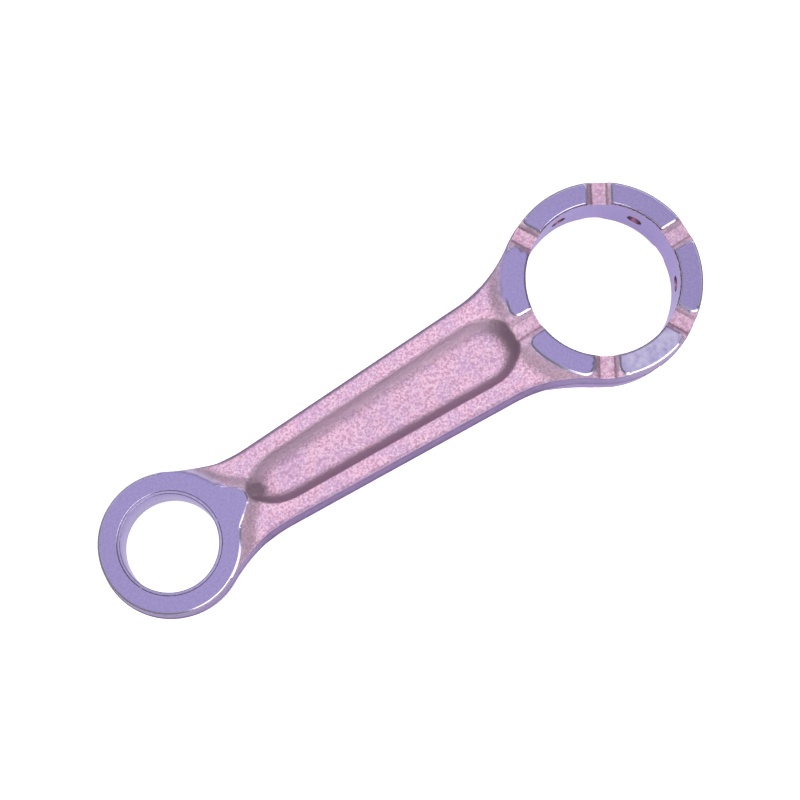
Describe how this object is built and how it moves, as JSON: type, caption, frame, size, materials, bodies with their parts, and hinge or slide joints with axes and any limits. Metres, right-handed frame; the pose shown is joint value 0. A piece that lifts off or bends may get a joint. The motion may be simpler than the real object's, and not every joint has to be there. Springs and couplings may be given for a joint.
{
  "type": "connecting rod",
  "caption": "Forged I-section connecting rod with a slotted big eye, a bushed small eye and ground side faces.",
  "frame": {"origin": "centre of the rod's bounding box in plan, on the plane of the lower ground faces", "axes": "+X along the rod from the small end to the big end, +Z along both bores, +Y across the rod"},
  "size_m": [0.148, 0.0444, 0.0135],
  "materials": {
    "plated_forging": "copper-plated, shot-blasted forging with ground steel faces and bores",
    "bush_steel": "finely bored steel"
  },
  "bodies": {
    "root": {"rod_forging": "plated_forging", "small_end_bush": "bush_steel"}
  },
  "joints": []
}
